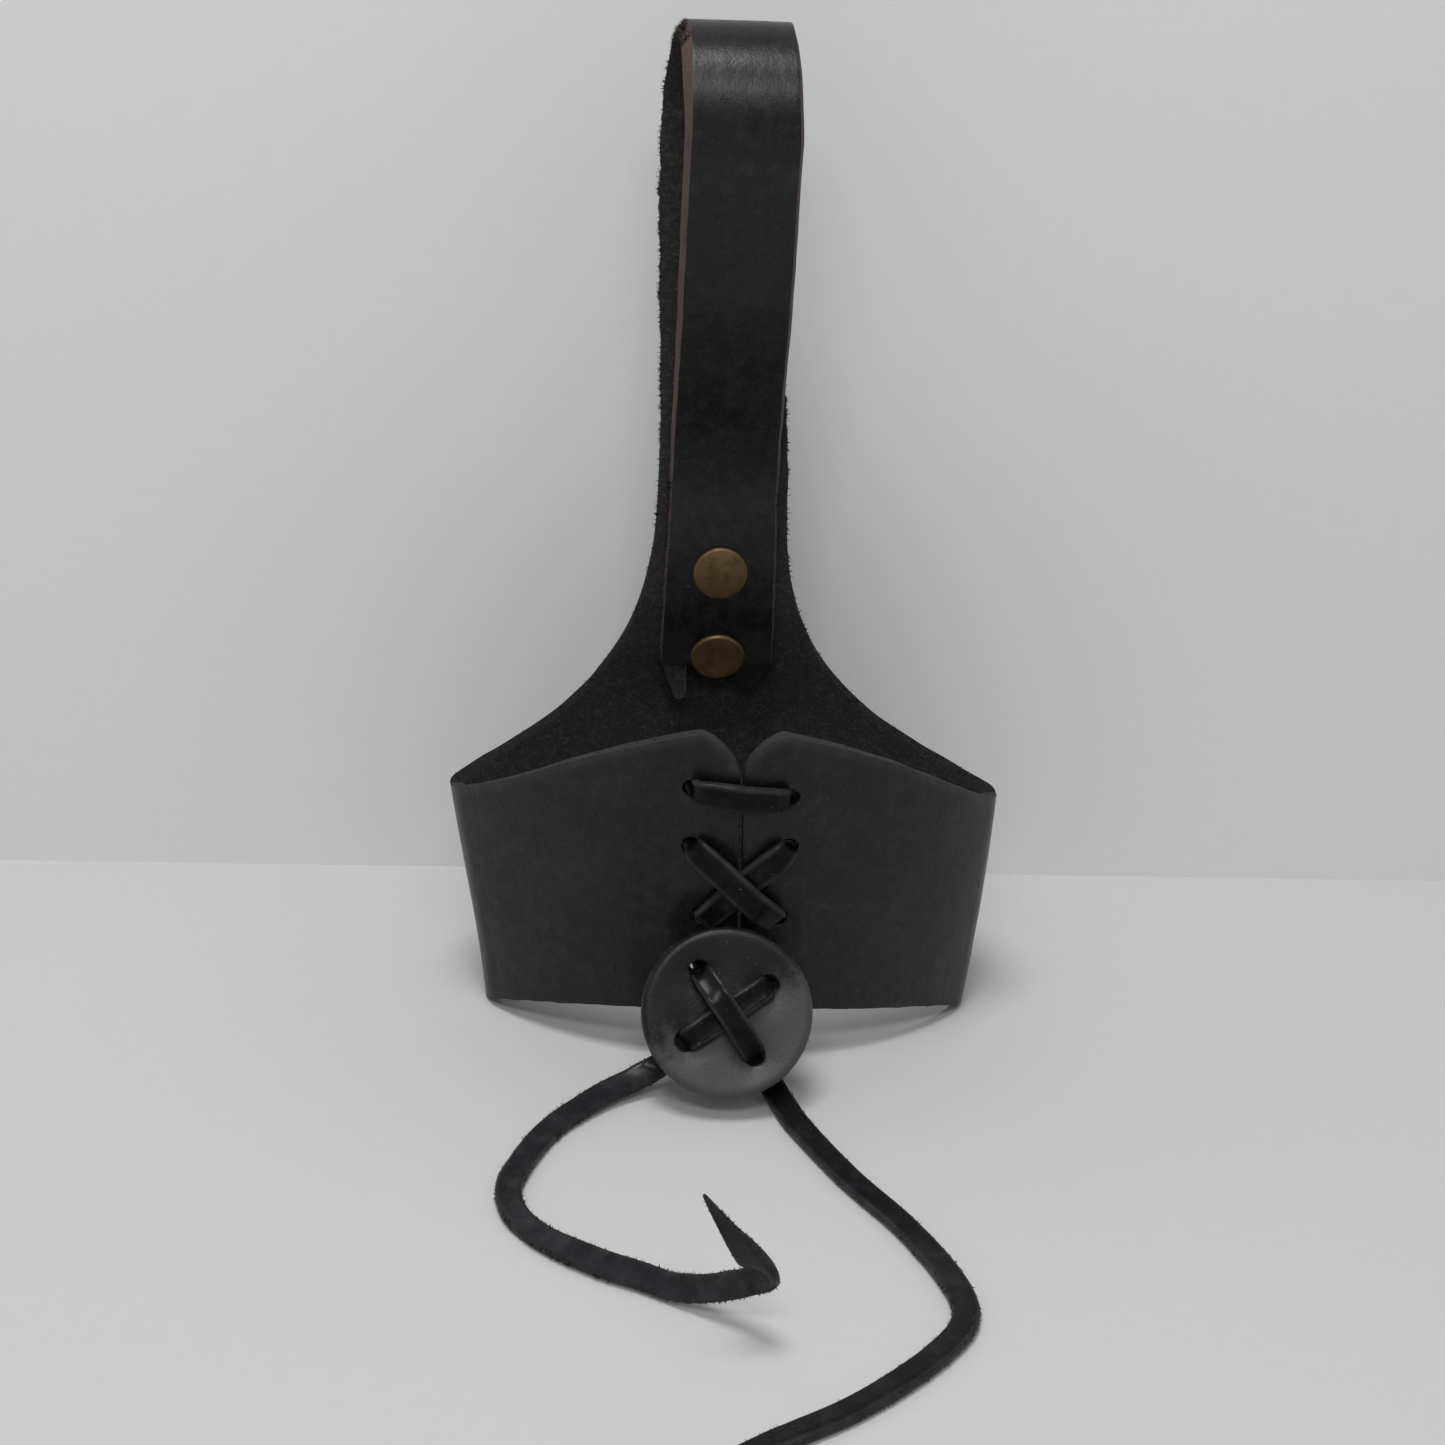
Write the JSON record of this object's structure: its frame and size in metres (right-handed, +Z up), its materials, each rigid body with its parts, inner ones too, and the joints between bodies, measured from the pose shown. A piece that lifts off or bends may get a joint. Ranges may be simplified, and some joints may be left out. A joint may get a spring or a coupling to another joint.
{
  "type": "laced belt frog",
  "caption": "Black leather belt frog: riveted belt loop over a conical ring whose wings lace up in front and lock with a leather button.",
  "frame": {"origin": "on the floor under the middle of the box, without the free lace tails", "axes": "+Z up to the belt loop's fold, front with the lacing towards -Y, +X to the right seen from the front"},
  "size_m": [0.1232, 0.2092, 0.221],
  "materials": {
    "body_leather": "satin black grain, suede flesh side, brown-black cut edges",
    "lace_leather": "soft satin black",
    "button_leather": "matt black with a brown rim",
    "antique_brass": "dark patina, worn bright on the crowns"
  },
  "bodies": {
    "back": {"leather_back": "body_leather", "rivet_cap_upper": "antique_brass", "rivet_post_upper": "antique_brass", "rivet_cap_lower": "antique_brass", "rivet_post_lower": "antique_brass"},
    "left_wing": {"leather_wing_left": "body_leather", "lace_upper_left": "lace_leather", "lace_lower_left": "lace_leather"},
    "right_wing": {"leather_wing_right": "body_leather", "lace_upper_right": "lace_leather", "lace_lower_right": "lace_leather"},
    "button": {"lock_button": "button_leather", "lead_left": "lace_leather", "lead_right": "lace_leather", "stitch_over": "lace_leather", "stitch_under": "lace_leather", "lace_tail_left": "lace_leather", "lace_tail_right": "lace_leather"}
  },
  "joints": [
    {"name": "button_slide", "type": "slide", "parent": "back", "child": "button", "axis": [0, -1, 0], "range_m": [0, 0.02], "deforming": ["lead_left", "lead_right"]},
    {"name": "left_wing_flex", "type": "hinge", "parent": "back", "child": "left_wing", "pos_m": [-0.05269, 0.0112, 0], "axis": [0.1628, 0, -0.9867], "range_deg": [0, 4]},
    {"name": "right_wing_flex", "type": "hinge", "parent": "back", "child": "right_wing", "pos_m": [0.05791, 0.0112, 0], "axis": [0.0681, 0, 0.9977], "range_deg": [0, 4]}
  ],
  "couplings": [
    {"joint": "left_wing_flex", "follows": "button_slide", "rad_per_m": 3.4907},
    {"joint": "right_wing_flex", "follows": "button_slide", "rad_per_m": 3.4907}
  ]
}
